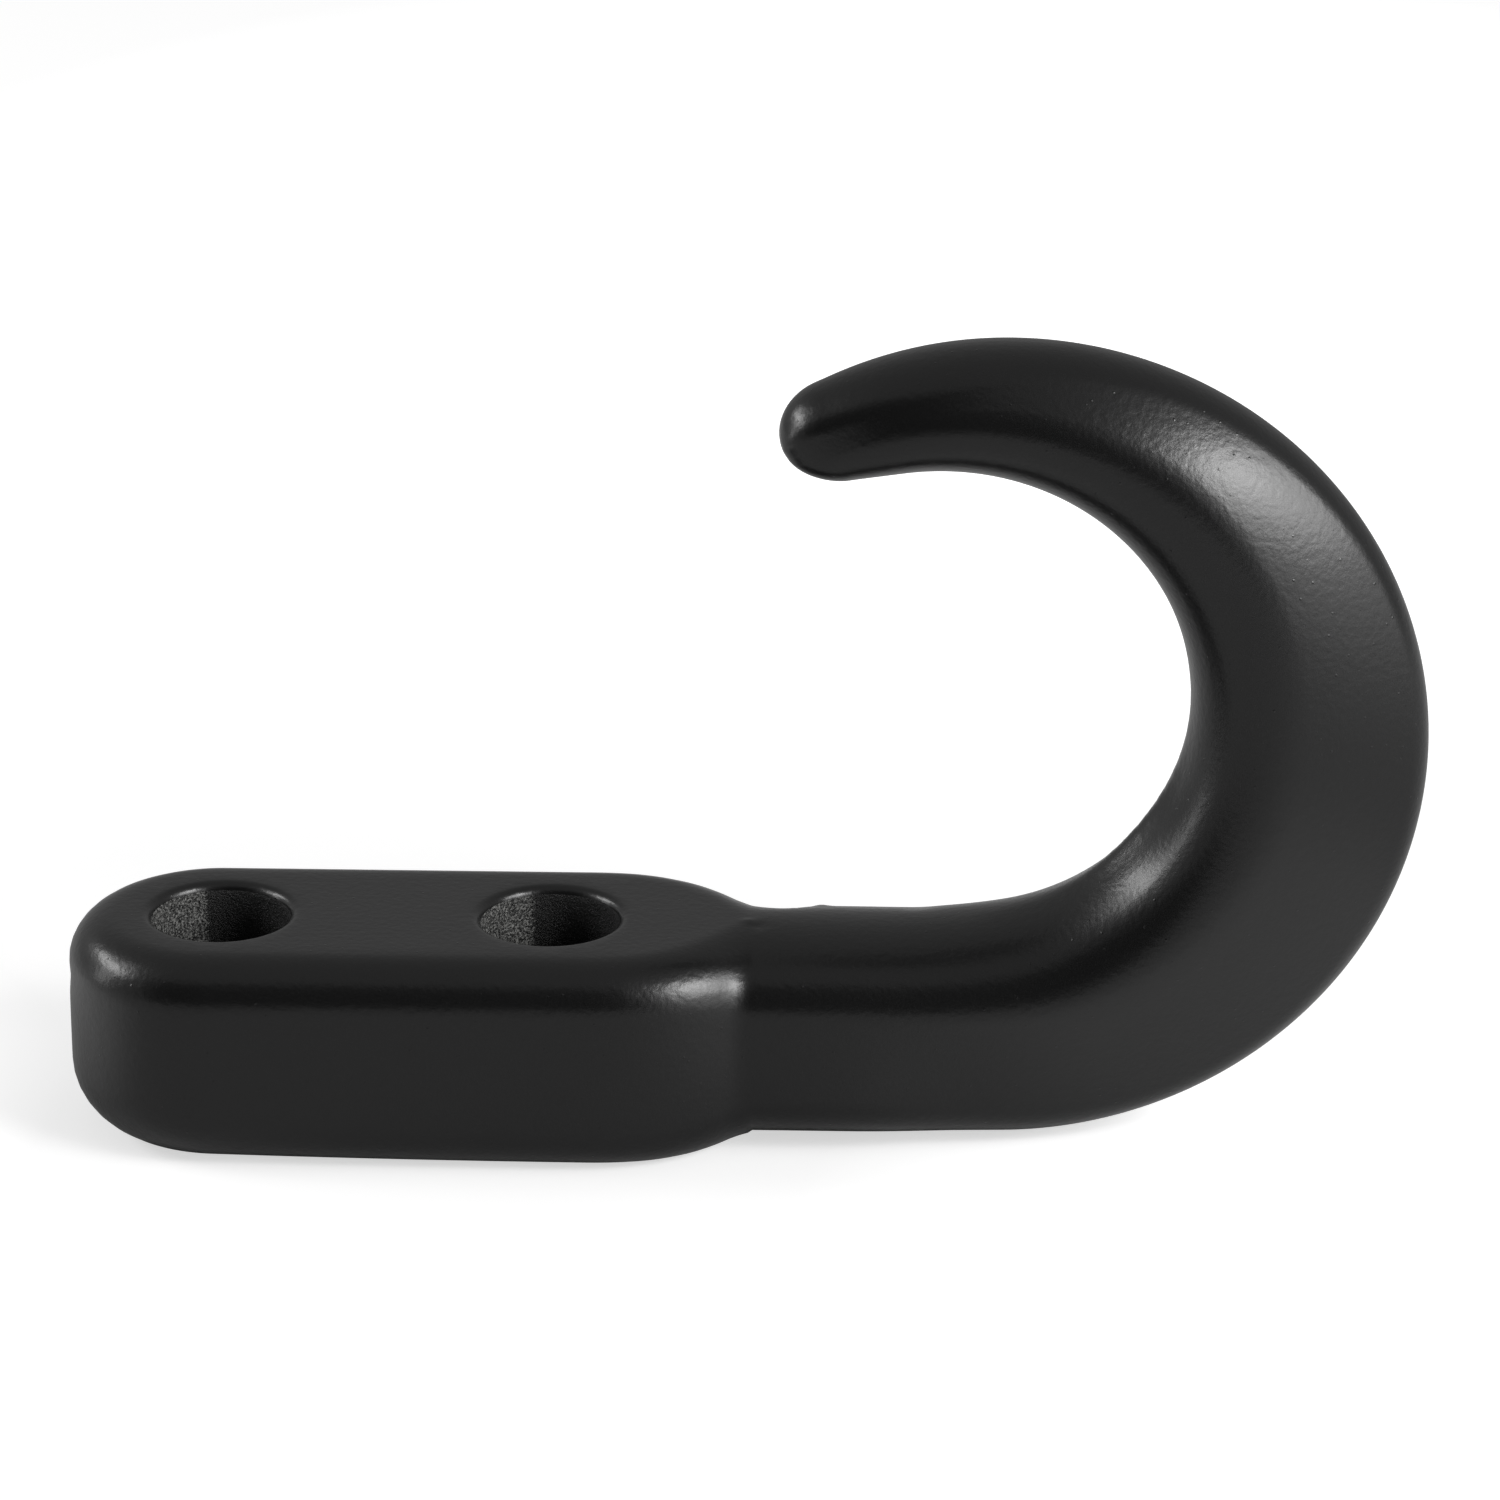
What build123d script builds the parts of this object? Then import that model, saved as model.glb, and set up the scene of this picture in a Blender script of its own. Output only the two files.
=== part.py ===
from build123d import *

# Recovery tow hook: one drop-forged piece of steel with a bolt-on pad, a neck, a crowned shank and an
# open hook. It rests on its mounting face in the XY plane, X runs from the pad to the hook and Z is up.
# The origin lies on the mounting face, midway between the two bolt holes. Lengths are millimetres.

import os
from math import acos, asin, cos, degrees, radians, sin, sqrt, tan

# Mounting pad
pad_thickness = 23.2
pad_top_edge_radius = 5.2
pad_bottom_edge_radius = 5.0
pad_end_offset = 0.5
hole_spacing = 34.9
hole_diameter = 14.7
hole_lip_radius = 1.0
hole_wall = 8.35
pad_width = hole_diameter + 2 * hole_wall

# Neck, an S in plan from the pad's sides to the shank's. The pad's own form runs on over its first part,
# and then its flat top and underside turn into the shank's crowns.
neck_start = 21.9
neck_outer_radius = 26.5
neck_inner_radius = 4.5
neck_pad_part = 3.5
neck_sections = 6
flat_crown_radius = 1000.0

# Shank, a box with crowned top and bottom
shank_start = 42.0
shank_width = 21.5
shank_height = 23.3
shank_crown_radius = 0.7 * shank_width
shank_corner_radius = 0.23 * shank_width

# Outer line of the hook in side view: the shank's underside, then one arc over the back to the point
back_arc_start = 65.5
back_radius = 43.9
back_turn = 210.0

# Inner line of the hook in side view: the shank's top, then the saddle of the bowl and the arm above it.
# The arm's thickness sets the height of the bowl, and the bowl's radii are shares of that height.
arm_thickness = 0.63 * shank_width
bowl_height = 2 * back_radius - shank_height - arm_thickness
saddle_entry_start = 52.45
saddle_entry_radius = 1.278 * bowl_height
saddle_entry_turn = 11.1
saddle_radius = 0.478 * bowl_height
arm_inner_turn = 99.2
arm_underside_length = 12.0

# Form of the hook at angles seen from the bowl's centre: the width, crown radius and corner radius of the
# bowl side, then those of the back side, all as shares of the shank's width. Its sections are cut at a
# closer step, between these rows.
hook_forms = [
    (-90, (1.0, 0.65, 0.28), (0.86, 0.56, 0.26)),
    (-68, (1.0, 0.58, 0.35), (0.63, 0.395, 0.235)),
    (-45, (0.985, 0.56, 0.37), (0.49, 0.30, 0.21)),
    (-15, (0.965, 0.55, 0.38), (0.44, 0.28, 0.20)),
    (15, (0.95, 0.535, 0.38), (0.465, 0.29, 0.205)),
    (45, (0.90, 0.51, 0.345), (0.535, 0.325, 0.225)),
    (70, (0.83, 0.495, 0.27), (0.605, 0.365, 0.24)),
    (92, (0.745, 0.475, 0.215), (0.675, 0.40, 0.25)),
    (105, (0.65, 0.43, 0.195), (0.605, 0.365, 0.235)),
]
hook_step = 13

# Nose at the point of the hook, half an ellipse in side view that leans towards the bowl
nose_offset = 0.186 * shank_width
nose_lean = 9.0
nose_depth = 0.307 * shank_width
nose_height = 0.48 * shank_width
nose_bowl_side = (0.507, 0.345, 0.195)
nose_back_side = (0.475, 0.30, 0.195)
nose_angles = (90, 70, 50, 30, 15)

half = 0.5


# Value at a share of the way from a first value to a last one
def between(first, last, share):
    return first + (last - first) * share


# Outline of one forged section on a plane whose Y axis points from the back to the bowl. Each side has a
# crown and two round corners, and straight flanks join the corners. Each of its eight edges makes a face.
def forged_section(plane, height, bowl_side, back_side):
    bowl_end, bowl_tangent, bowl_corner = crown_end(Vector(0, height * half), Vector(0, 1), *bowl_side)
    back_end, back_tangent, back_corner = crown_end(Vector(0, -height * half), Vector(0, -1), *back_side)
    down = back_corner - bowl_corner
    lean = degrees(asin((bowl_side[-1] - back_side[-1]) / down.length))
    outward = down.normalized().rotate(Axis.Z, 90 - lean)
    along = outward.rotate(Axis.Z, -90)
    bowl_foot = bowl_corner + outward * bowl_side[-1]
    back_foot = back_corner + outward * back_side[-1]
    bowl_arc = smooth_arc(bowl_end, bowl_tangent, bowl_foot, along)
    back_arc = smooth_arc(back_foot, along, back_end, back_tangent)
    flank = Line(bowl_foot, back_foot)
    bowl_crown = smooth_arc(opposite(bowl_end), -opposite(bowl_tangent), bowl_end, bowl_tangent)
    back_crown = smooth_arc(back_end, back_tangent, opposite(back_end), -opposite(back_tangent))
    near = [bowl_arc, flank, back_arc]
    far = [edge.mirror(Plane.YZ) for edge in near]
    return plane * Face(Wire([bowl_crown, *near, back_crown, *far]))


# Where half a crown ends, its direction there towards the corner, and the centre of the corner's arc
def crown_end(apex, outward, width, crown_radius, corner_radius):
    turn = asin((width * half - corner_radius) / (crown_radius - corner_radius))
    centre = apex - outward * crown_radius
    normal = outward * cos(turn) + Vector(sin(turn), 0)
    tangent = (Vector(cos(turn), 0) - outward * sin(turn)) * outward.Y
    return centre + normal * crown_radius, tangent, centre + normal * (crown_radius - corner_radius)


# The same point or direction on the other side of the middle
def opposite(vector):
    return Vector(-vector.X, vector.Y)


# Arc between two points and their tangents, as a plain cubic curve that lofts evenly
def smooth_arc(start, start_tangent, end, end_tangent):
    turn = radians(start_tangent.get_angle(end_tangent))
    radius = (end - start).length * half / sin(turn * half)
    handle = 4 / 3 * tan(turn / 4) * radius
    return Bezier(start, start + start_tangent * handle, end - end_tangent * handle, end)


# Plane of a section, with its local Y axis from the back to the bowl
def section_plane(bowl_point, back_point):
    towards_bowl = (bowl_point - back_point).normalized()
    across = Vector(0, 1, 0)
    return Plane((bowl_point + back_point) * half, x_dir=across, z_dir=across.cross(towards_bowl))


# Outlines of the hook in side view
with BuildLine(Plane.XZ) as back_line:
    underside = Line((neck_start, 0), (back_arc_start, 0))
    JernArc(underside @ 1, underside % 1, back_radius, back_turn)
with BuildLine(Plane.XZ) as bowl_line:
    shank_top = Line((neck_start, shank_height), (saddle_entry_start, shank_height))
    entry = JernArc(shank_top @ 1, shank_top % 1, saddle_entry_radius, saddle_entry_turn)
    saddle = JernArc(entry @ 1, entry % 1, saddle_radius, 90 - saddle_entry_turn)
    arm_inner_radius = shank_height + bowl_height - (saddle @ 1).Z
    arm = JernArc(saddle @ 1, saddle % 1, arm_inner_radius, arm_inner_turn)
    Line(arm @ 1, arm @ 1 + (arm % 1) * arm_underside_length)
bowl_centre = saddle.arc_center

# Neck in plan: an arc that turns in from the pad's side, and one that turns back along the shank's
neck_step = (pad_width - shank_width) * half
neck_lean = acos(1 - neck_step / (neck_outer_radius + neck_inner_radius))
neck_turning = neck_outer_radius * sin(neck_lean)
neck_length = (neck_outer_radius + neck_inner_radius) * sin(neck_lean)
pad_part_turn = degrees(asin(neck_pad_part / neck_outer_radius))


# Width of the neck at a distance from its start
def neck_width(distance):
    if distance < neck_turning:
        return pad_width - 2 * (neck_outer_radius - sqrt(neck_outer_radius**2 - distance**2))
    left = max(neck_length - distance, 0)
    return shank_width + 2 * (neck_inner_radius - sqrt(neck_inner_radius**2 - left**2))


# Section of the neck or the shank at a distance from the neck's start, with the crown that it has there
def neck_section(distance):
    share = min((distance - neck_pad_part) / (neck_length - neck_pad_part), 1)
    crown = min(shank_crown_radius / share**2, flat_crown_radius)
    height = between(pad_thickness, shank_height, share)
    top_side = (neck_width(distance), crown, between(pad_top_edge_radius, shank_corner_radius, share))
    under_side = (neck_width(distance), crown, between(pad_bottom_edge_radius, shank_corner_radius, share))
    foot = Vector(neck_start + distance, 0, 0)
    return forged_section(section_plane(foot + Vector(0, 0, height), foot), height, top_side, under_side)


# Section of the hook at an angle seen from the bowl's centre
def hook_section(angle):
    first, last = [(row, after) for row, after in zip(hook_forms, hook_forms[1:]) if row[0] <= angle][-1]
    share = (angle - first[0]) / (last[0] - first[0])
    bowl_side = [shank_width * between(*sizes, share) for sizes in zip(first[1], last[1])]
    back_side = [shank_width * between(*sizes, share) for sizes in zip(first[2], last[2])]
    bowl_point = crossing(bowl_line, angle)
    back_point = crossing(back_line, angle)
    height = (bowl_point - back_point).length
    return forged_section(section_plane(bowl_point, back_point), height, bowl_side, back_side)


# Point where a ray from the bowl's centre crosses an outline
def crossing(outline, angle):
    direction = Vector(cos(radians(angle)), 0, sin(radians(angle)))
    ray = Edge.make_line(bowl_centre, bowl_centre + direction * back_radius * 2)
    return [point for edge in outline.edges() for point in edge.find_intersection_points(ray)][0]


# Section of the nose, a smaller copy of its root towards the point
def nose_section(root, angle):
    scale = sin(radians(angle))
    bowl_side = [shank_width * scale * size for size in nose_bowl_side]
    back_side = [shank_width * scale * size for size in nose_back_side]
    plane = root.offset(nose_depth * cos(radians(angle)))
    return forged_section(plane, scale * nose_height, bowl_side, back_side)


shank_distance = shank_start - neck_start
entry_distance = saddle_entry_start - neck_start
neck_pitch = (shank_distance - neck_pad_part) / neck_sections
neck = [neck_section(neck_pad_part + neck_pitch * (index + 1)) for index in range(neck_sections)]
shank = [neck_section(between(shank_distance, entry_distance, share)) for share in (half, 1)]
first_angle = hook_forms[0][0]
last_angle = hook_forms[-1][0]
hook = [hook_section(angle) for angle in range(first_angle, last_angle + 1, hook_step)]
nose_root = section_plane(crossing(bowl_line, last_angle), crossing(back_line, last_angle))
nose_root = nose_root.offset(nose_offset).rotated((nose_lean, 0, 0))
nose = [nose_section(nose_root, angle) for angle in nose_angles]
point = Vertex(nose_root.offset(nose_depth).origin)

with BuildPart() as tow_hook:
    # Pad with a round end past the outer bolt hole, and the first part of the neck
    with BuildSketch():
        with BuildLine():
            round_end = CenterArc((-hole_spacing * half - pad_end_offset, 0), pad_width * half, 180, -90)
            side = Line(round_end @ 1, (neck_start, pad_width * half))
            turn = JernArc(side @ 1, side % 1, neck_outer_radius, -pad_part_turn)
            mirror(about=Plane.XZ)
            Line(turn @ 1, (turn @ 1) - Vector(0, (turn @ 1).Y / half))
        make_face()
    extrude(amount=pad_thickness)
    for end, radius in ((-1, pad_top_edge_radius), (0, pad_bottom_edge_radius)):
        face = tow_hook.faces().sort_by(Axis.Z)[end]
        fillet(face.edges() - tow_hook.faces().sort_by(Axis.X)[-1].edges(), radius)

    # Bolt holes with rounded lips
    with Locations((-hole_spacing * half, 0, 0), (hole_spacing * half, 0, 0)):
        Hole(hole_diameter * half)
    fillet(tow_hook.edges(Select.LAST).filter_by(GeomType.CIRCLE), hole_lip_radius)

    # Neck, then shank and hook, then the nose down to the point
    loft([tow_hook.faces().sort_by(Axis.X)[-1]] + neck)
    loft(neck[-1:] + shank + hook + nose[:1])
    loft(nose + [point])

os.makedirs("parts", exist_ok=True)
tow_hook.part.label = "tow_hook"
export_step(tow_hook.part, "parts/tow_hook.step")
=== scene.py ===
import math

import bmesh
import bpy
import numpy as np
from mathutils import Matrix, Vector
from mathutils.geometry import delaunay_2d_cdt


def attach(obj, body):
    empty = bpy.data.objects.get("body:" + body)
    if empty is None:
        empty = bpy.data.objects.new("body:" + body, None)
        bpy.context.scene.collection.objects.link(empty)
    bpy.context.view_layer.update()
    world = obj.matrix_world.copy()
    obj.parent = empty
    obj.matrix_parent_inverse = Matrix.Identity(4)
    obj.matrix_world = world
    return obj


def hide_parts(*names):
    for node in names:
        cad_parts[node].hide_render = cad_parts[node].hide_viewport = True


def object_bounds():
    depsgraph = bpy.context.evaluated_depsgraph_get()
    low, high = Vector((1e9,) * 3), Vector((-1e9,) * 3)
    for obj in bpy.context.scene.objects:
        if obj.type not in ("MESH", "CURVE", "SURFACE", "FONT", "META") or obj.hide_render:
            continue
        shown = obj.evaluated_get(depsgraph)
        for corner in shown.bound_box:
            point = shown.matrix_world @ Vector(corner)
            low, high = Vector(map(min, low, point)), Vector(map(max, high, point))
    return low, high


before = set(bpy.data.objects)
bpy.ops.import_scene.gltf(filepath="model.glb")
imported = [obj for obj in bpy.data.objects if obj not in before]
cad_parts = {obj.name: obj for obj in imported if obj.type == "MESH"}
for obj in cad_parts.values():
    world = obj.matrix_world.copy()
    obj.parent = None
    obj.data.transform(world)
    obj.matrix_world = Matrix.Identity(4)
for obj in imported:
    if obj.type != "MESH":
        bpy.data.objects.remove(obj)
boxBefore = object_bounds()
print("frame loaded")

mm = 0.001

# sizes of the hook in millimetres and degrees, in the frame of the solids
hook = {
    "padThickness": 23.2,
    "padHalfWidth": 15.7,
    "padTopRadius": 5.2,
    "padUnderRadius": 4.75,
    "padUnderGrowth": 2.4,  # how much rounder the lower edge gets towards the round end
    "padUnderPower": 2.2,  # how late it does so
    "padEndShift": 0.5,
    "holeHalfSpacing": 17.45,
    "holeRadius": 7.35,
    "holeLip": 1.1,
    "neckStart": 21.9,
    "neckPadPart": 4.0,  # the pad's own skin runs on over this length of the neck
    "neckOuterRadius": 26.5,
    "neckInnerRadius": 4.5,
    "shankHalfWidth": 10.75,
    "shankHeight": 23.3,
    "shankCrown": 15.0,
    "shankCorner": 6.3,
    "shankHeel": 5.0,
    "plainFlank": 0.002,  # curvature of a side that is nearly flat
    "backArcStart": 65.5,
    "backRadius": 43.9,
    "backTurn": 210.0,
    "entryStart": 52.45,
    "entryRadius": 65.1,
    "entryTurn": 11.1,
    "saddleRadius": 24.36,
    "armRadius": 25.83,
    "armTurn": 99.2,
    "armEnd": 14.0,
    "noseOffset": 1.2,
    "noseDepth": 5.4,
    "noseLean": 10.0,
    "noseSquareness": 2.8,
}

# the hook's section by the angle from the bowl's centre: width, crown and corner radius on the bowl side,
# the same three on the back, and the flank's curvature
hookForms = [
    (-90, (21.5, 14.0, 6.5), (18.5, 12.0, 5.5), 0.003),
    (-68, (21.5, 12.5, 7.5), (13.5, 8.5, 5.0), 0.006),
    (-45, (21.2, 12.0, 8.0), (10.5, 6.5, 4.5), 0.012),
    (-15, (20.8, 11.8, 8.2), (9.5, 6.0, 4.3), 0.018),
    (15, (20.4, 11.5, 8.2), (10.0, 6.2, 4.4), 0.030),
    (45, (19.4, 11.0, 7.4), (11.5, 7.0, 4.8), 0.040),
    (70, (17.8, 10.6, 5.8), (13.0, 7.8, 5.2), 0.030),
    (92, (16.2, 10.2, 4.6), (14.5, 8.6, 5.2), 0.010),
    (104, (14.2, 9.0, 4.0), (13.0, 7.6, 4.4), 0.010),
    (112, (12.0, 7.8, 3.4), (11.2, 6.4, 3.6), 0.010),
]

# parting ridge left in the bowl: it swells around one angle, stands on a low floor and ripples along
ridge = {
    "height": 0.55,
    "halfThickness": 2.0,
    "peak": -38.0,
    "reachDown": 20.0,
    "reachUp": 24.0,
    "floor": 0.10,
    "floorFrom": -88.0,
    "floorRise": 12.0,
    "floorTo": 30.0,
    "floorFall": 20.0,
    "ripple": 0.06,
    "rippleLengths": (1.7, 2.9, 0.9),
}

# flaws of the forging: where, how far they reach, and how the skin moves there
flaws = [
    {"at": (41.5, 6.3, 22.0), "reach": (2.6, 2.6, 3.0), "push": (0.0, -0.12, -0.36)},
    {"at": (42.2, 5.6, 22.4), "reach": (0.8, 1.0, 2.0), "push": (0.0, 0.0, -0.30)},
    {"at": (44.2, 5.2, 22.5), "reach": (0.7, 0.9, 2.0), "push": (0.0, 0.0, -0.34)},
    {"at": (46.0, 5.8, 22.3), "reach": (0.8, 0.8, 2.0), "push": (0.0, 0.0, 0.16)},
    {"at": (38.6, -1.2, 23.3), "reach": (0.7, 0.7, 2.0), "push": (0.0, 0.0, 0.16)},
    {"at": (39.6, -2.0, 23.2), "reach": (0.9, 0.7, 2.0), "push": (0.0, 0.0, -0.12)},
    {"at": (56.5, 4.6, 22.6), "reach": (1.8, 2.0, 2.0), "push": (0.0, 0.0, -0.12)},
    {"at": (-33.6, -2.0, 16.5), "reach": (1.2, 1.6, 1.2), "push": (0.22, 0.0, 0.0)},
]

# how finely the skin is divided, by number or in millimetres and degrees
skin = {
    "crownSteps": 18,
    "crownBunching": 1.25,  # above 1, the points lie closer at the apex
    "cornerSteps": 9,
    "flankSteps": 22,
    "straightStep": 0.45,
    "angleStep": 0.8,
    "slopeOver": 8,  # sections before the nose that give it its slopes
    "noseLeadSteps": 8,
    "noseSteps": 16,
    "edgeStep": 0.9,
    "endSteps": 75,
    "boreSteps": 120,
    "lipSteps": 6,
    "wallStep": 0.6,
    "flatStep": 1.2,
    "flatLeft": -33.0,
    "flatSide": 16.0,
    "borderGap": 0.7,
    "boreGap": 0.6,
    "neckGap": 0.8,
    "neckGapLead": 0.5,
    "rimSlack": 0.001,
    "samePoint": 0.0015,
    "sameFlatPoint": 0.00001,
}

# how the sizes of the sections are eased along the hook, counted in sections
easing = {
    "sizeColumns": (5, 12),  # the places in a section's row that hold its sizes
    "window": 13,
    "passes": 2,
    "startPast": 2.0,  # millimetres past the neck
    "blendOver": 12,
}

# points on the inner and the outer line in side view: the shank's straights by start and step in
# millimetres, the rest by number
sideLines = {
    "from": 20.0,
    "step": 0.2,
    "entry": 120,
    "saddle": 900,
    "arm": 1200,
    "end": 100,
    "back": 4500,
    "firstAngle": -120.0,  # degrees round the bowl's centre; the points before it are left out
}

seamX = hook["neckStart"] + hook["neckPadPart"]
padEndX = -hook["holeHalfSpacing"] - hook["padEndShift"]
rimRadius = hook["holeRadius"] + hook["holeLip"]
# how far round the shank's crown goes, which the neck's crowns grow up to
crownReach = hook["shankCrown"] - hook["shankCorner"]
crownTurn = math.asin((hook["shankHalfWidth"] - hook["shankCorner"]) / crownReach)


def blend(first, last, share):
    return first + (last - first) * share


def turned(direction, angle):
    c, s = math.cos(angle), math.sin(angle)
    return np.array([direction[0] * c - direction[1] * s, direction[0] * s + direction[1] * c])


def arcPoints(centre, radius, first, last, steps):
    # angles from the upright axis, growing outwards
    turn = np.linspace(first, last, steps + 1)
    return np.stack([centre[0] + radius * np.sin(turn), centre[1] + radius * np.cos(turn)], 1)


def arcFromBelow(centre, radius, first, last, count):
    # angles from straight below the centre, growing forwards
    turn = np.linspace(first, last, count)
    return np.stack([centre[0] + radius * np.sin(turn), centre[1] - radius * np.cos(turn)], 1)


def crownRun(halfWidth, crown, corner, rise):
    # from the apex at (0, 0) outwards: a flat, then the crown's arc, and where the corner's centre lies
    full = math.asin((halfWidth - corner) / (crown - corner)) if rise == 1 else crownTurn
    turn = rise * full
    flat = halfWidth - corner - (crown - corner) * math.sin(turn)
    share = np.linspace(0, 1, skin["crownSteps"] + 1) ** skin["crownBunching"]
    run = share * (flat + crown * turn)
    bend = np.clip((run - flat) / crown, 0, None)
    across = np.where(run < flat, run, flat + crown * np.sin(bend))
    down = np.where(run < flat, 0, crown * (1 - np.cos(bend)))
    centre = (flat + (crown - corner) * math.sin(turn), -crown + (crown - corner) * math.cos(turn))
    return np.stack([across, -down], 1), centre, turn


def forgedHalf(height, bowlSide, backSide, belly):
    # half an outline, from the bowl side's apex round to the back side's;
    # each side is half width, crown, corner and rise
    bowlRun, bowlCorner, bowlTurn = crownRun(*bowlSide)
    backRun, backCorner, backTurn = crownRun(*backSide)
    upper = np.array([bowlCorner[0], height / 2 + bowlCorner[1]])
    lower = np.array([backCorner[0], -height / 2 - backCorner[1]])
    # the flank is a wide arc that touches both corners
    wide = 1 / belly
    reach = np.linalg.norm(lower - upper)
    down = (lower - upper) / reach
    outward = np.array([-down[1], down[0]])
    far, near = wide - bowlSide[2], wide - backSide[2]
    along = (far**2 - near**2 + reach**2) / (2 * reach)
    middle = upper + down * along - outward * math.sqrt(far**2 - along**2)
    flankTurn = math.atan2(*(upper - middle))
    heelTurn = math.atan2(*(lower - middle))
    corner = arcPoints(upper, bowlSide[2], bowlTurn, flankTurn, skin["cornerSteps"])
    side = arcPoints(middle, wide, flankTurn, heelTurn, skin["flankSteps"])
    heel = arcPoints(lower, backSide[2], heelTurn, math.pi - backTurn, skin["cornerSteps"])
    bowlRun = bowlRun + [0, height / 2]
    backRun = (backRun * [1, -1] + [0, -height / 2])[::-1]
    return np.concatenate([bowlRun, corner[1:], side[1:], heel[1:], backRun[1:]])


def neckHalfWidth(x):
    # in plan the neck is an S of two arcs, from the pad's side to the shank's
    step = hook["padHalfWidth"] - hook["shankHalfWidth"]
    outer, inner = hook["neckOuterRadius"], hook["neckInnerRadius"]
    lean = math.acos(1 - step / (outer + inner))
    run = x - hook["neckStart"]
    if run <= 0:
        return hook["padHalfWidth"]
    if run < outer * math.sin(lean):
        return hook["padHalfWidth"] - outer + math.sqrt(outer**2 - run**2)
    left = max((outer + inner) * math.sin(lean) - run, 0)
    return hook["shankHalfWidth"] + inner - math.sqrt(inner**2 - left**2)


def neckEnd():
    step = hook["padHalfWidth"] - hook["shankHalfWidth"]
    reach = hook["neckOuterRadius"] + hook["neckInnerRadius"]
    return hook["neckStart"] + reach * math.sin(math.acos(1 - step / reach))


def outlines():
    # the inner and the outer line in side view, as dense points (x, z), and the bowl's centre
    h, dense = hook, sideLines
    entryTurn, upright = math.radians(h["entryTurn"]), math.pi / 2
    armTurn = upright + math.radians(h["armTurn"])
    top = np.arange(dense["from"], h["entryStart"], dense["step"])
    under = np.arange(dense["from"], h["backArcStart"], dense["step"])
    entryAt = np.array([h["entryStart"], h["shankHeight"] + h["entryRadius"]])
    fromEntry = np.array([math.sin(entryTurn), -math.cos(entryTurn)])
    saddleAt = entryAt + (h["entryRadius"] - h["saddleRadius"]) * fromEntry
    armAt = saddleAt + [h["saddleRadius"] - h["armRadius"], 0]
    arm = arcFromBelow(armAt, h["armRadius"], upright, armTurn, dense["arm"])
    ahead = np.array([math.cos(armTurn), math.sin(armTurn)])
    inner = [
        np.column_stack([top, np.full(len(top), h["shankHeight"])]),
        arcFromBelow(entryAt, h["entryRadius"], 0, entryTurn, dense["entry"]),
        arcFromBelow(saddleAt, h["saddleRadius"], entryTurn, upright, dense["saddle"]),
        arm,
        arm[-1] + np.linspace(0, h["armEnd"], dense["end"])[:, None] * ahead,
    ]
    backAt = (h["backArcStart"], h["backRadius"])
    outer = [
        np.column_stack([under, np.zeros(len(under))]),
        arcFromBelow(backAt, h["backRadius"], 0, math.radians(h["backTurn"]), dense["back"]),
    ]
    return np.concatenate(inner), np.concatenate(outer), saddleAt


innerLine, outerLine, bowlCentre = outlines()


def alongRay(line, angle):
    # distance from the bowl's centre to the line, at an angle in degrees
    away = line - bowlCentre
    turn = np.degrees(np.unwrap(np.arctan2(away[:, 1], away[:, 0])))
    keep = turn > sideLines["firstAngle"]
    return np.interp(angle, turn[keep], np.hypot(away[:, 0], away[:, 1])[keep])


def formAt(angle):
    angles = [row[0] for row in hookForms]
    bowl = [np.interp(angle, angles, [row[1][i] for row in hookForms]) for i in range(3)]
    back = [np.interp(angle, angles, [row[2][i] for row in hookForms]) for i in range(3)]
    return bowl, back, np.interp(angle, angles, [row[3] for row in hookForms])


# every section is a row: centre x and z, up x and z, height, bowl side's half width, crown and corner,
# the back's same three, flank's curvature, rise of the crowns, squeeze across and squeeze up


def neckAndShankRows():
    h = hook
    rows = []
    count = round((bowlCentre[0] - seamX) / skin["straightStep"])
    bowl, back, belly = formAt(-90)
    for x in np.linspace(seamX, bowlCentre[0], count + 1)[:-1]:
        share = min((x - seamX) / (neckEnd() - seamX), 1)
        late = min(max((x - h["entryStart"]) / (bowlCentre[0] - h["entryStart"]), 0), 1)
        top = blend(h["padThickness"], h["shankHeight"], share)
        if x > h["entryStart"]:
            drop = math.sqrt(h["entryRadius"] ** 2 - (x - h["entryStart"]) ** 2)
            top = h["shankHeight"] + h["entryRadius"] - drop
        half = neckHalfWidth(x)
        crown = blend(h["padTopRadius"], h["shankCrown"], share)
        under = blend(h["padUnderRadius"], h["shankCrown"], share)
        corner = blend(h["padTopRadius"], h["shankCorner"], share)
        heel = blend(h["padUnderRadius"], h["shankHeel"], share)
        hookBowl, hookBack = (bowl[0] / 2, *bowl[1:]), (back[0] / 2, *back[1:])
        bowlSide = [blend(a, b, late) for a, b in zip((half, crown, corner), hookBowl)]
        backSide = [blend(a, b, late) for a, b in zip((half, under, heel), hookBack)]
        flank = blend(h["plainFlank"], belly, late)
        rows.append([x, top / 2, 0.0, 1.0, top, *bowlSide, *backSide, flank, share, 1.0, 1.0])
    return rows


def hookRows():
    rows = []
    last = hookForms[-1][0]
    for angle in np.linspace(-90, last, round((last + 90) / skin["angleStep"]) + 1):
        near, far = alongRay(innerLine, angle), alongRay(outerLine, angle)
        out = np.array([math.cos(math.radians(angle)), math.sin(math.radians(angle))])
        bowl, back, belly = formAt(angle)
        middle = bowlCentre + out * (near + far) / 2
        sides = (bowl[0] / 2, *bowl[1:], back[0] / 2, *back[1:])
        rows.append([*middle, *(-out), far - near, *sides, belly, 1.0, 1.0, 1.0])
    return rows


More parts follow.
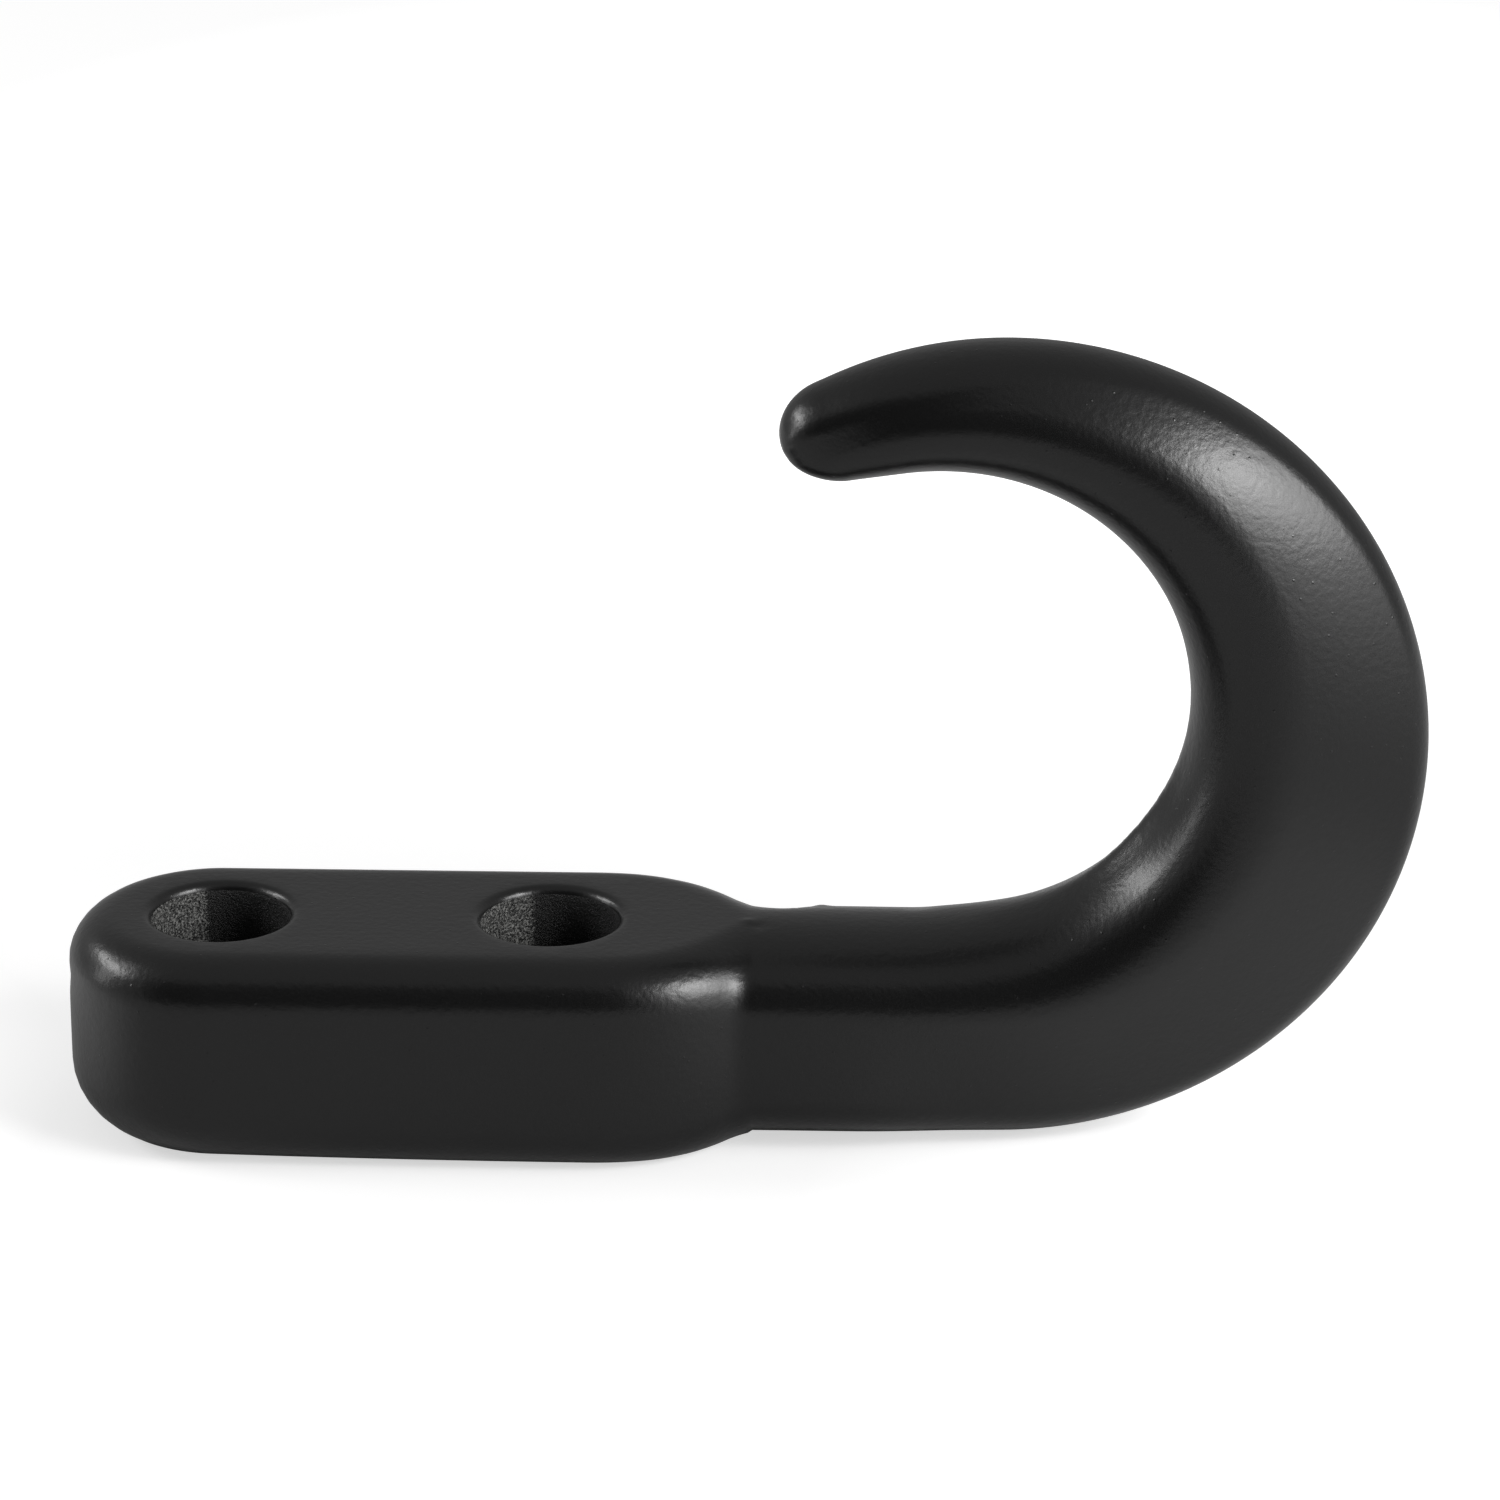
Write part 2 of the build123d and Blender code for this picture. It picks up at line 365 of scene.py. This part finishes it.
def eased(rows):
    # rolling means take the kinks out of the side's sizes, past the neck
    window = easing["window"]
    start = int(np.argmax(rows[:, 0] > neckEnd() + easing["startPast"]))
    ease = np.clip((np.arange(len(rows)) - start) / easing["blendOver"], 0, 1)
    for column in range(*easing["sizeColumns"]):
        smooth = rows[:, column].copy()
        for _ in range(easing["passes"]):
            padded = np.pad(smooth, window // 2, mode="reflect", reflect_type="odd")
            smooth = np.convolve(padded, np.ones(window) / window, mode="valid")
        rows[:, column] = blend(rows[:, column], smooth, ease)
    return rows


def noseRows(root, earlier):
    # heading, height and sides run on as they came, the axis leans in, and a round end closes it
    h = hook
    gone = root[:2] - earlier[:2]
    slopes = (root[4:11] - earlier[4:11]) / np.linalg.norm(gone)
    heading = gone / np.linalg.norm(gone)
    length = h["noseOffset"] + h["noseDepth"]
    lead = np.linspace(0, h["noseOffset"], skin["noseLeadSteps"] + 1)[1:-1]
    turns = np.linspace(math.pi / 2, 0, skin["noseSteps"] + 1)
    where, past, rows = root[:2], 0.0, []
    for run in np.concatenate([lead, h["noseOffset"] + h["noseDepth"] * np.cos(turns)]):
        lean = math.radians(h["noseLean"]) * run / length
        where = where + turned(heading, lean) * (run - past)
        past = run
        late = min(max(run - h["noseOffset"], 0) / h["noseDepth"], 1)
        across = (1 - late ** h["noseSquareness"]) ** (1 / h["noseSquareness"])
        sizes = root[4:11] + slopes * run
        rows.append([*where, *turned(root[2:4], lean), *sizes, root[11], 1.0, across, math.sqrt(1 - late**2)])
    return rows[:-1], where


def hookSections():
    rows = eased(np.array(neckAndShankRows() + hookRows()))
    nose, tip = noseRows(rows[-1], rows[-1 - skin["slopeOver"]])
    return np.concatenate([rows, np.array(nose)]), tip


def ridgeHeight(angle):
    swell = ridge["reachDown"] if angle < ridge["peak"] else ridge["reachUp"]
    high = ridge["height"] * math.exp(-(((angle - ridge["peak"]) / swell) ** 2))
    rising = np.clip((angle - ridge["floorFrom"]) / ridge["floorRise"], 0, 1)
    falling = np.clip((ridge["floorTo"] - angle) / ridge["floorFall"], 0, 1)
    run = math.radians(angle) * hook["saddleRadius"]
    waves = [math.sin(2 * math.pi * run / length + i) for i, length in enumerate(ridge["rippleLengths"])]
    return (high + ridge["floor"] * rising * falling) * (1 + ridge["ripple"] * sum(waves) / len(waves))


class Skin:
    # collects points and faces, in millimetres
    def __init__(self):
        self.points, self.faces, self.count = [], [], 0

    def add(self, points):
        first = self.count
        self.points.append(np.asarray(points, float))
        self.count += len(points)
        return np.arange(first, self.count)

    def grid(self, rows):
        for a, b in zip(rows, rows[1:]):
            self.faces += [(a[i], a[i + 1], b[i + 1], b[i]) for i in range(len(a) - 1)]


def addForging(body):
    # neck, shank, hook and nose; gives back the first half outline, where the pad's skin joins on
    sections, tip = hookSections()
    rings, halves = [], []
    for x, z, ux, uz, height, *sides, belly, rise, across, up in sections:
        half = forgedHalf(height, [*sides[:3], rise], [*sides[3:], rise], belly) * [across, up]
        angle = math.degrees(math.atan2(-uz, -ux))
        raised = ridgeHeight(angle) * np.exp(-((half[:, 0] / ridge["halfThickness"]) ** 2))
        half[:, 1] += np.where(half[:, 1] > 0, raised, 0)
        halves.append(np.column_stack([x + half[:, 1] * ux, half[:, 0], z + half[:, 1] * uz]))
    for half in halves:
        near = body.add(half)
        far = body.add(half[1:-1] * [1, -1, 1])
        rings.append(np.concatenate([near, far[::-1], near[:1]]))
    body.grid(rings)
    end = body.add([[tip[0], 0, tip[1]]])[0]
    body.faces += [(rings[-1][i], rings[-1][i + 1], end) for i in range(len(rings[-1]) - 1)]
    return halves[0]


def endShare(x):
    return (seamX - x) / (seamX - padEndX + hook["padHalfWidth"])


def addPadEdge(body, first, last):
    # the pad's rounded edge from the seam on one side round the end to the seam on the other
    h, step = hook, skin["edgeStep"]
    straight = np.append(np.arange(seamX, padEndX + step / 2, -step), padEndX)
    plan = [(x, neckHalfWidth(x), 0.0, 1.0) for x in straight]
    for a in np.linspace(math.pi / 2, 3 * math.pi / 2, skin["endSteps"] + 1)[1:-1]:
        out = (math.cos(a), math.sin(a))
        plan.append((padEndX + h["padHalfWidth"] * out[0], h["padHalfWidth"] * out[1], *out))
    plan += [(x, -neckHalfWidth(x), 0.0, -1.0) for x in straight[::-1]]
    rows = []
    for x, y, nx, ny in plan:
        reach, top = h["padHalfWidth"], h["padTopRadius"]
        under = h["padUnderRadius"] + h["padUnderGrowth"] * endShare(x) ** h["padUnderPower"]
        half = forgedHalf(h["padThickness"], [reach, top, top, 0], [reach, under, under, 0], h["plainFlank"])
        edge = half[first : last + 1]
        inset = edge[:, 0] - reach
        rows.append(np.stack([x + nx * inset, y + ny * inset, edge[:, 1] + h["padThickness"] / 2], 1))
    rows = [body.add(row) for row in rows]
    body.grid(rows)
    return rows


def spreadOverFlat(edgeRadius, growth):
    # points inside a flat face, clear of its border and of the bores
    h, s = hook, skin
    xs = np.arange(s["flatLeft"], seamX, s["flatStep"])
    ys = np.arange(-s["flatSide"], s["flatSide"], s["flatStep"])
    gx, gy = np.meshgrid(xs, ys)
    gx = gx + (np.arange(len(ys)) % 2)[:, None] * s["flatStep"] / 2
    x, y = gx.ravel(), gy.ravel()
    reach = h["padHalfWidth"] - edgeRadius - s["borderGap"]
    reach = reach - growth * np.clip(endShare(x), 0, 1) ** h["padUnderPower"]
    keep = (np.abs(y) < reach) & (x < seamX - s["borderGap"])
    keep &= (x >= padEndX) | (np.hypot(x - padEndX, y) < reach)
    keep &= np.hypot(np.abs(x) - h["holeHalfSpacing"], y) > rimRadius + s["boreGap"]
    keep &= (x <= h["neckStart"] - s["neckGapLead"]) | (np.abs(y) < reach - s["neckGap"])
    return np.column_stack([x, y])[keep]


def addFlat(body, rim, seamRun, level, inside):
    # a flat face of the pad, with round gaps for the bores
    border = np.concatenate(body.points)[rim][:, :2]
    across = np.concatenate([-seamRun[:-1, 1][::-1], seamRun[1:-1, 1]])
    loop = np.concatenate([border, np.column_stack([np.full(len(across), seamX), across])])
    angles = np.linspace(0, 2 * math.pi, skin["boreSteps"], endpoint=False)
    circle = rimRadius * np.column_stack([np.cos(angles), np.sin(angles)])
    holes = [circle + [side * hook["holeHalfSpacing"], 0] for side in (-1, 1)]
    n, m = len(loop), skin["boreSteps"]
    edges = [(i, (i + 1) % n) for i in range(n)]
    for start in (n, n + m):
        edges += [(start + i, start + (i + 1) % m) for i in range(m)]
    points = [Vector(p) for p in np.concatenate([loop, *holes, inside])]
    verts, _, faces, *_ = delaunay_2d_cdt(points, edges, [], 2, skin["sameFlatPoint"])
    flatAt = np.array([v[:] for v in verts])
    away = np.hypot(np.abs(flatAt[:, 0]) - hook["holeHalfSpacing"], flatAt[:, 1])
    onRim = away < rimRadius + skin["rimSlack"]  # a face between three rim points closes the bore
    placed = body.add(np.column_stack([flatAt, np.full(len(flatAt), level)]))
    body.faces += [tuple(placed[i] for i in face) for face in faces if not all(onRim[i] for i in face)]


def addBores(body):
    lip, radius, thick = hook["holeLip"], hook["holeRadius"], hook["padThickness"]
    angles = np.linspace(0, 2 * math.pi, skin["boreSteps"], endpoint=False)
    turns = np.linspace(0, math.pi / 2, skin["lipSteps"] + 1)
    wall = [(radius + lip * (1 - math.sin(t)), thick - lip * (1 - math.cos(t))) for t in turns]
    depth = np.linspace(thick - lip, lip, round(thick / skin["wallStep"]))[1:-1]
    wall += [(radius, z) for z in depth]
    wall += [(radius + lip * (1 - math.sin(t)), lip * (1 - math.cos(t))) for t in turns[::-1]]
    for side in (-1, 1):
        middle = side * hook["holeHalfSpacing"]
        rings = []
        for r, z in wall:
            circle = [middle + r * np.cos(angles), r * np.sin(angles), np.full(len(angles), z)]
            ring = body.add(np.stack(circle, 1))
            rings.append(np.concatenate([ring, ring[:1]]))
        body.grid(rings)


def buildHookMesh():
    body = Skin()
    seamHalf = addForging(body)
    first, last = skin["crownSteps"], len(seamHalf) - 1 - skin["crownSteps"]
    rows = addPadEdge(body, first, last)
    topInside = spreadOverFlat(hook["padTopRadius"], 0)
    underInside = spreadOverFlat(hook["padUnderRadius"], hook["padUnderGrowth"])
    addFlat(body, [row[0] for row in rows], seamHalf[: first + 1], hook["padThickness"], topInside)
    addFlat(body, [row[-1] for row in rows], seamHalf[last:][::-1], 0.0, underInside)
    addBores(body)
    points = np.concatenate(body.points)
    for flaw in flaws:
        away = ((points - flaw["at"]) / flaw["reach"]) ** 2
        points += np.exp(-away.sum(1))[:, None] * flaw["push"]
    mesh = bpy.data.meshes.new("towHookSkin")
    mesh.from_pydata((points * mm).tolist(), [], [tuple(int(i) for i in face) for face in body.faces])
    work = bmesh.new()
    work.from_mesh(mesh)
    bmesh.ops.remove_doubles(work, verts=work.verts, dist=skin["samePoint"] * mm)
    bmesh.ops.recalc_face_normals(work, faces=work.faces)
    loose = [edge for edge in work.edges if not edge.is_manifold]
    print("skin", len(work.verts), "points,", len(work.faces), "faces,", len(loose), "open edges")
    work.to_mesh(mesh)
    work.free()
    mesh.polygons.foreach_set("use_smooth", [True] * len(mesh.polygons))
    return mesh


towHook = bpy.data.objects.new("towHook", buildHookMesh())
bpy.context.collection.objects.link(towHook)
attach(towHook, "root")
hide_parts("tow_hook")
print("hook built")


# grain of a sprayed or cast face: bumps of one size and depth, and how high each point lies in them
def grainGroup():
    group = bpy.data.node_groups.new("grain", "ShaderNodeTree")
    for name, value in (("Grains Per Metre", 1000.0), ("Depth", 0.00002), ("Roughness", 0.5)):
        socket = group.interface.new_socket(name, in_out="INPUT", socket_type="NodeSocketFloat")
        socket.default_value = value
    normalIn = group.interface.new_socket("Normal In", in_out="INPUT", socket_type="NodeSocketVector")
    normalIn.hide_value = True
    group.interface.new_socket("Normal", in_out="OUTPUT", socket_type="NodeSocketVector")
    group.interface.new_socket("Height", in_out="OUTPUT", socket_type="NodeSocketFloat")
    nodes, links = group.nodes, group.links
    given = nodes.new("NodeGroupInput")
    result = nodes.new("NodeGroupOutput")
    place = nodes.new("ShaderNodeTexCoord")
    noise = nodes.new("ShaderNodeTexNoise")
    noise.inputs["Detail"].default_value = 3
    bump = nodes.new("ShaderNodeBump")
    links.new(place.outputs["Object"], noise.inputs["Vector"])
    links.new(given.outputs["Grains Per Metre"], noise.inputs["Scale"])
    links.new(given.outputs["Roughness"], noise.inputs["Roughness"])
    links.new(noise.outputs["Fac"], bump.inputs["Height"])
    links.new(given.outputs["Depth"], bump.inputs["Distance"])
    links.new(given.outputs["Normal In"], bump.inputs["Normal"])
    links.new(bump.outputs["Normal"], result.inputs["Normal"])
    links.new(noise.outputs["Fac"], result.inputs["Height"])
    return group


grain = grainGroup()


def grainNode(nodes, look):
    node = nodes.new("ShaderNodeGroup")
    node.node_tree = grain
    node.inputs["Grains Per Metre"].default_value = look["grains"]
    node.inputs["Depth"].default_value = look["depth"]
    node.inputs["Roughness"].default_value = look["crumble"]
    return node


# powder coat over the forging: a fine orange peel, specks, and linishing marks on the pad's flat top
coat = {
    "color": (0.0035, 0.0035, 0.0036, 1),
    "roughness": 0.30,
    "peel": {"grains": 1300.0, "depth": 0.00004, "crumble": 0.5},
    "specksPerMetre": 620.0,
    "speckSize": 0.10,
    "speckDepth": 0.000035,
    "markScale": (60.0, 2600.0, 60.0),
    "markDepth": 0.000008,
    "flatFrom": 0.97,  # how far up a face points to count as the flat top
}


def mixPowderCoat():
    material = bpy.data.materials.new("powderCoat")
    material.use_nodes = True
    nodes, links = material.node_tree.nodes, material.node_tree.links
    shader = nodes["Principled BSDF"]
    shader.inputs["Base Color"].default_value = coat["color"]
    shader.inputs["Roughness"].default_value = coat["roughness"]
    peel = grainNode(nodes, coat["peel"])
    place = nodes.new("ShaderNodeTexCoord")
    stretch = nodes.new("ShaderNodeMapping")
    stretch.inputs["Scale"].default_value = coat["markScale"]
    marks = nodes.new("ShaderNodeTexNoise")
    marks.inputs["Scale"].default_value = 1
    facing = nodes.new("ShaderNodeSeparateXYZ")
    surface = nodes.new("ShaderNodeNewGeometry")
    isTop = nodes.new("ShaderNodeMath")
    isTop.operation = "GREATER_THAN"
    isTop.inputs[1].default_value = coat["flatFrom"]
    onTop = nodes.new("ShaderNodeMath")
    onTop.operation = "MULTIPLY"
    brush = nodes.new("ShaderNodeBump")
    brush.inputs["Distance"].default_value = coat["markDepth"]
    specks = nodes.new("ShaderNodeTexVoronoi")
    specks.inputs["Scale"].default_value = coat["specksPerMetre"]
    speckShape = nodes.new("ShaderNodeMapRange")
    speckShape.inputs["From Max"].default_value = coat["speckSize"]
    speckShape.inputs["To Min"].default_value = 1
    speckShape.inputs["To Max"].default_value = 0
    speckBump = nodes.new("ShaderNodeBump")
    speckBump.inputs["Distance"].default_value = coat["speckDepth"]
    links.new(place.outputs["Object"], specks.inputs["Vector"])
    links.new(specks.outputs["Distance"], speckShape.inputs["Value"])
    links.new(speckShape.outputs["Result"], speckBump.inputs["Height"])
    links.new(place.outputs["Object"], stretch.inputs["Vector"])
    links.new(stretch.outputs["Vector"], marks.inputs["Vector"])
    links.new(surface.outputs["True Normal"], facing.inputs["Vector"])
    links.new(facing.outputs["Z"], isTop.inputs[0])
    links.new(isTop.outputs["Value"], onTop.inputs[0])
    links.new(marks.outputs["Fac"], onTop.inputs[1])
    links.new(onTop.outputs["Value"], brush.inputs["Height"])
    links.new(brush.outputs["Normal"], speckBump.inputs["Normal"])
    links.new(speckBump.outputs["Normal"], peel.inputs["Normal In"])
    links.new(peel.outputs["Normal"], shader.inputs["Normal"])
    return material


# bores: thin coat over coarse scale; the grains' bumps are real, and the grey on the high grains of the side
# that faces the hook and the key lamp is painted light
bore = {
    "grain": {"grains": 3800.0, "depth": 0.00022, "crumble": 0.8},
    "low": (0.004, 0.004, 0.004, 1),
    "high": (0.27, 0.27, 0.26, 1),
    "from": 0.47,
    "to": 0.62,
    # how far the wall must face the hook and the key lamp before the painted light on its grains fades in
    "paintedShadeBelow": -0.05,
    "paintedLightAbove": 0.35,
    "roughness": 0.5,
    "wallSlack": 0.02,  # millimetres past the wall that still count as the bore
}


def mixBoreCoat():
    material = bpy.data.materials.new("boreCoat")
    material.use_nodes = True
    nodes, links = material.node_tree.nodes, material.node_tree.links
    shader = nodes["Principled BSDF"]
    shader.inputs["Roughness"].default_value = bore["roughness"]
    scale = grainNode(nodes, bore["grain"])
    tone = nodes.new("ShaderNodeValToRGB")
    low, high = tone.color_ramp.elements
    low.color, low.position = bore["low"], bore["from"]
    high.color, high.position = bore["high"], bore["to"]
    place = nodes.new("ShaderNodeTexCoord")
    facing = nodes.new("ShaderNodeSeparateXYZ")
    litSideShare = nodes.new("ShaderNodeMapRange")
    litSideShare.inputs["From Min"].default_value = bore["paintedShadeBelow"]
    litSideShare.inputs["From Max"].default_value = bore["paintedLightAbove"]
    paintedLitGrains = nodes.new("ShaderNodeMath")
    paintedLitGrains.operation = "MULTIPLY"
    # painted light: grey only on the grains of the wall whose normal points towards the hook and the key
    # lamp, dark on the rest
    links.new(place.outputs["Normal"], facing.inputs["Vector"])
    links.new(facing.outputs["X"], litSideShare.inputs["Value"])
    links.new(litSideShare.outputs["Result"], paintedLitGrains.inputs[0])
    links.new(scale.outputs["Height"], paintedLitGrains.inputs[1])
    links.new(paintedLitGrains.outputs["Value"], tone.inputs["Fac"])
    links.new(tone.outputs["Color"], shader.inputs["Base Color"])
    links.new(scale.outputs["Normal"], shader.inputs["Normal"])
    return material


def isInBore(face):
    at = face.center / mm
    away = min(math.hypot(at.x - side * hook["holeHalfSpacing"], at.y) for side in (-1, 1))
    return away < hook["holeRadius"] + bore["wallSlack"]


towHook.data.materials.append(mixPowderCoat())
towHook.data.materials.append(mixBoreCoat())
towHook.data.polygons.foreach_set("material_index", [int(isInBore(face)) for face in towHook.data.polygons])
print("coats mixed")

# soft boxes, each by the direction it lies in, its distance, its width and height, and how bright its face is
softBoxes = {
    "keyPanel": {"towards": (0.76, -0.40, 0.44), "away": 0.9, "width": 0.56, "height": 0.38, "bright": 7.0},
    "keyCore": {"towards": (0.68, -0.46, 0.56), "away": 0.88, "width": 0.24, "height": 0.17, "bright": 15.0},
    "sidePanel": {"towards": (0.90, -0.42, 0.20), "away": 1.1, "width": 1.1, "height": 0.7, "bright": 1.35},
    "leftPanel": {"towards": (-0.86, 0.16, 0.44), "away": 0.9, "width": 0.50, "height": 0.11, "bright": 12.0},
    "leftStrip": {"towards": (-0.93, 0.06, 0.34), "away": 0.92, "width": 0.12, "height": 0.75, "bright": 4.0},
}

# the rest of the studio, in metres
studio = {
    "middle": (0.045, 0.0, 0.04),
    "cloth": {"towards": (-0.22, -0.91, 0.36), "away": 1.2, "width": 2.0, "height": 1.30},
    "clothColor": (0.10, 0.10, 0.10, 1),
    "room": 0.33,
    "floor": 0.56,
    "floorHalfSize": 4,
    "floorGap": 0.0002,
    "floorGlow": 0.6,
    # pools of light painted into the floor's colour, seen only in the hook's reflections
    "paintedLightPools": (
        {"at": (-0.085, 0.005, 0.0), "reach": 0.05, "paintedLight": 0.42},
        {"at": (0.105, -0.030, 0.0), "reach": 0.062, "paintedLight": 0.30},
        {"at": (0.06, 0.26, 0.0), "reach": 0.18, "paintedLight": 0.44},
    ),
}
square = ((-1, -1), (1, -1), (1, 1), (-1, 1))  # corners of a card, in halves of its sides


def softBox(name, look):
    light = bpy.data.lights.new(name, "AREA")
    light.shape = "RECTANGLE"
    light.size, light.size_y = look["width"], look["height"]
    light.energy = look["bright"] * math.pi * look["width"] * look["height"]
    lamp = bpy.data.objects.new(name, light)
    towards = Vector(look["towards"]).normalized()
    lamp.location = Vector(studio["middle"]) + towards * look["away"]
    lamp.rotation_euler = towards.to_track_quat("Z", "Y").to_euler()
    bpy.context.collection.objects.link(lamp)


def card(name, corners, material):
    mesh = bpy.data.meshes.new(name)
    mesh.from_pydata(corners, [], [(0, 1, 2, 3)])
    board = bpy.data.objects.new(name, mesh)
    board.data.materials.append(material)
    bpy.context.collection.objects.link(board)
    return board


def stageMaterial(name):
    material = bpy.data.materials.new(name)
    material.use_nodes = True
    material.node_tree.nodes.clear()
    return material, material.node_tree.nodes, material.node_tree.links


def mixFloorPaint():
    # white to the camera with the hook's shadow left in, plain grey with pools of painted light to everything
    # else
    material, nodes, links = stageMaterial("floorPaint")
    output = nodes.new("ShaderNodeOutputMaterial")
    path = nodes.new("ShaderNodeLightPath")
    matt = nodes.new("ShaderNodeBsdfDiffuse")
    place = nodes.new("ShaderNodeTexCoord")
    tone = None
    # each pool is painted light that lifts the floor's grey towards its middle
    for spot in studio["paintedLightPools"]:
        away = nodes.new("ShaderNodeVectorMath")
        away.operation = "DISTANCE"
        away.inputs[1].default_value = spot["at"]
        fade = nodes.new("ShaderNodeMapRange")
        fade.inputs["From Min"].default_value = spot["reach"]
        fade.inputs["From Max"].default_value = spot["reach"] / 2
        fade.inputs["To Max"].default_value = spot["paintedLight"]
        added = nodes.new("ShaderNodeMath")
        added.inputs[1].default_value = studio["floor"]
        links.new(place.outputs["Object"], away.inputs[0])
        links.new(away.outputs["Value"], fade.inputs["Value"])
        links.new(fade.outputs["Result"], added.inputs[0])
        if tone:
            links.new(tone.outputs["Value"], added.inputs[1])
        tone = added
    links.new(tone.outputs["Value"], matt.inputs["Color"])
    glow = nodes.new("ShaderNodeEmission")
    glow.inputs["Strength"].default_value = studio["floorGlow"]
    both = nodes.new("ShaderNodeAddShader")
    choice = nodes.new("ShaderNodeMixShader")
    links.new(path.outputs["Is Camera Ray"], choice.inputs["Fac"])
    links.new(matt.outputs["BSDF"], choice.inputs[1])
    links.new(matt.outputs["BSDF"], both.inputs[0])
    links.new(glow.outputs["Emission"], both.inputs[1])
    links.new(both.outputs["Shader"], choice.inputs[2])
    links.new(choice.outputs["Shader"], output.inputs["Surface"])
    return material


def paintWorld():
    # white to the camera, a grey room to everything else
    world = bpy.data.worlds.new("studio")
    bpy.context.scene.world = world
    world.use_nodes = True
    nodes, links = world.node_tree.nodes, world.node_tree.links
    room = nodes["Background"]
    room.inputs["Color"].default_value = (studio["room"], studio["room"], studio["room"], 1)
    path = nodes.new("ShaderNodeLightPath")
    white = nodes.new("ShaderNodeBackground")
    white.inputs["Color"].default_value = (1, 1, 1, 1)
    choice = nodes.new("ShaderNodeMixShader")
    links.new(path.outputs["Is Camera Ray"], choice.inputs["Fac"])
    links.new(room.outputs["Background"], choice.inputs[1])
    links.new(white.outputs["Background"], choice.inputs[2])
    links.new(choice.outputs["Shader"], nodes["World Output"].inputs["Surface"])


def hangCloth(name, look):
    # dark cloth behind the camera, which the top edges mirror
    material, nodes, links = stageMaterial("darkCloth")
    output = nodes.new("ShaderNodeOutputMaterial")
    weave = nodes.new("ShaderNodeBsdfDiffuse")
    weave.inputs["Color"].default_value = studio["clothColor"]
    links.new(weave.outputs["BSDF"], output.inputs["Surface"])
    towards = Vector(look["towards"]).normalized()
    centre = Vector(studio["middle"]) + towards * look["away"]
    across = Vector((0, 0, 1)).cross(towards).normalized()
    upwards = towards.cross(across)
    across, upwards = across * look["width"] / 2, upwards * look["height"] / 2
    corners = [centre + across * i + upwards * j for i, j in square]
    card(name, corners, material).visible_camera = False


for name, look in softBoxes.items():
    softBox(name, look)
size, floorLevel = studio["floorHalfSize"], boxBefore[0].z - studio["floorGap"]
card("floor", [(size * i, size * j, floorLevel) for i, j in square], mixFloorPaint())
paintWorld()
hangCloth("clothAbove", studio["cloth"])
print("studio lit")

# camera where the photograph was taken from; angles in degrees, focal length and frame in pixels
shot = {
    "azimuth": 1.8,
    "elevation": 22.3,
    "place": (0.0617, -0.7357, 0.3442),
    "focal": 7600.0,
    "frame": 1500,
    "sensor": 36,
    "clip": (0.05, 10),
}
view = bpy.data.cameras.new("camera")
camera = bpy.data.objects.new("camera", view)
bpy.context.collection.objects.link(camera)
bpy.context.scene.camera = camera
view.sensor_width = shot["sensor"]
view.lens = shot["focal"] / shot["frame"] * view.sensor_width
azimuth, elevation = math.radians(shot["azimuth"]), math.radians(shot["elevation"])
flat = math.cos(elevation)
toCamera = Vector((math.sin(azimuth) * flat, -math.cos(azimuth) * flat, math.sin(elevation)))
camera.location = shot["place"]
camera.rotation_euler = toCamera.to_track_quat("Z", "Y").to_euler()
view.clip_start, view.clip_end = shot["clip"]
bpy.context.scene.view_settings.view_transform = "Standard"
print("camera placed")
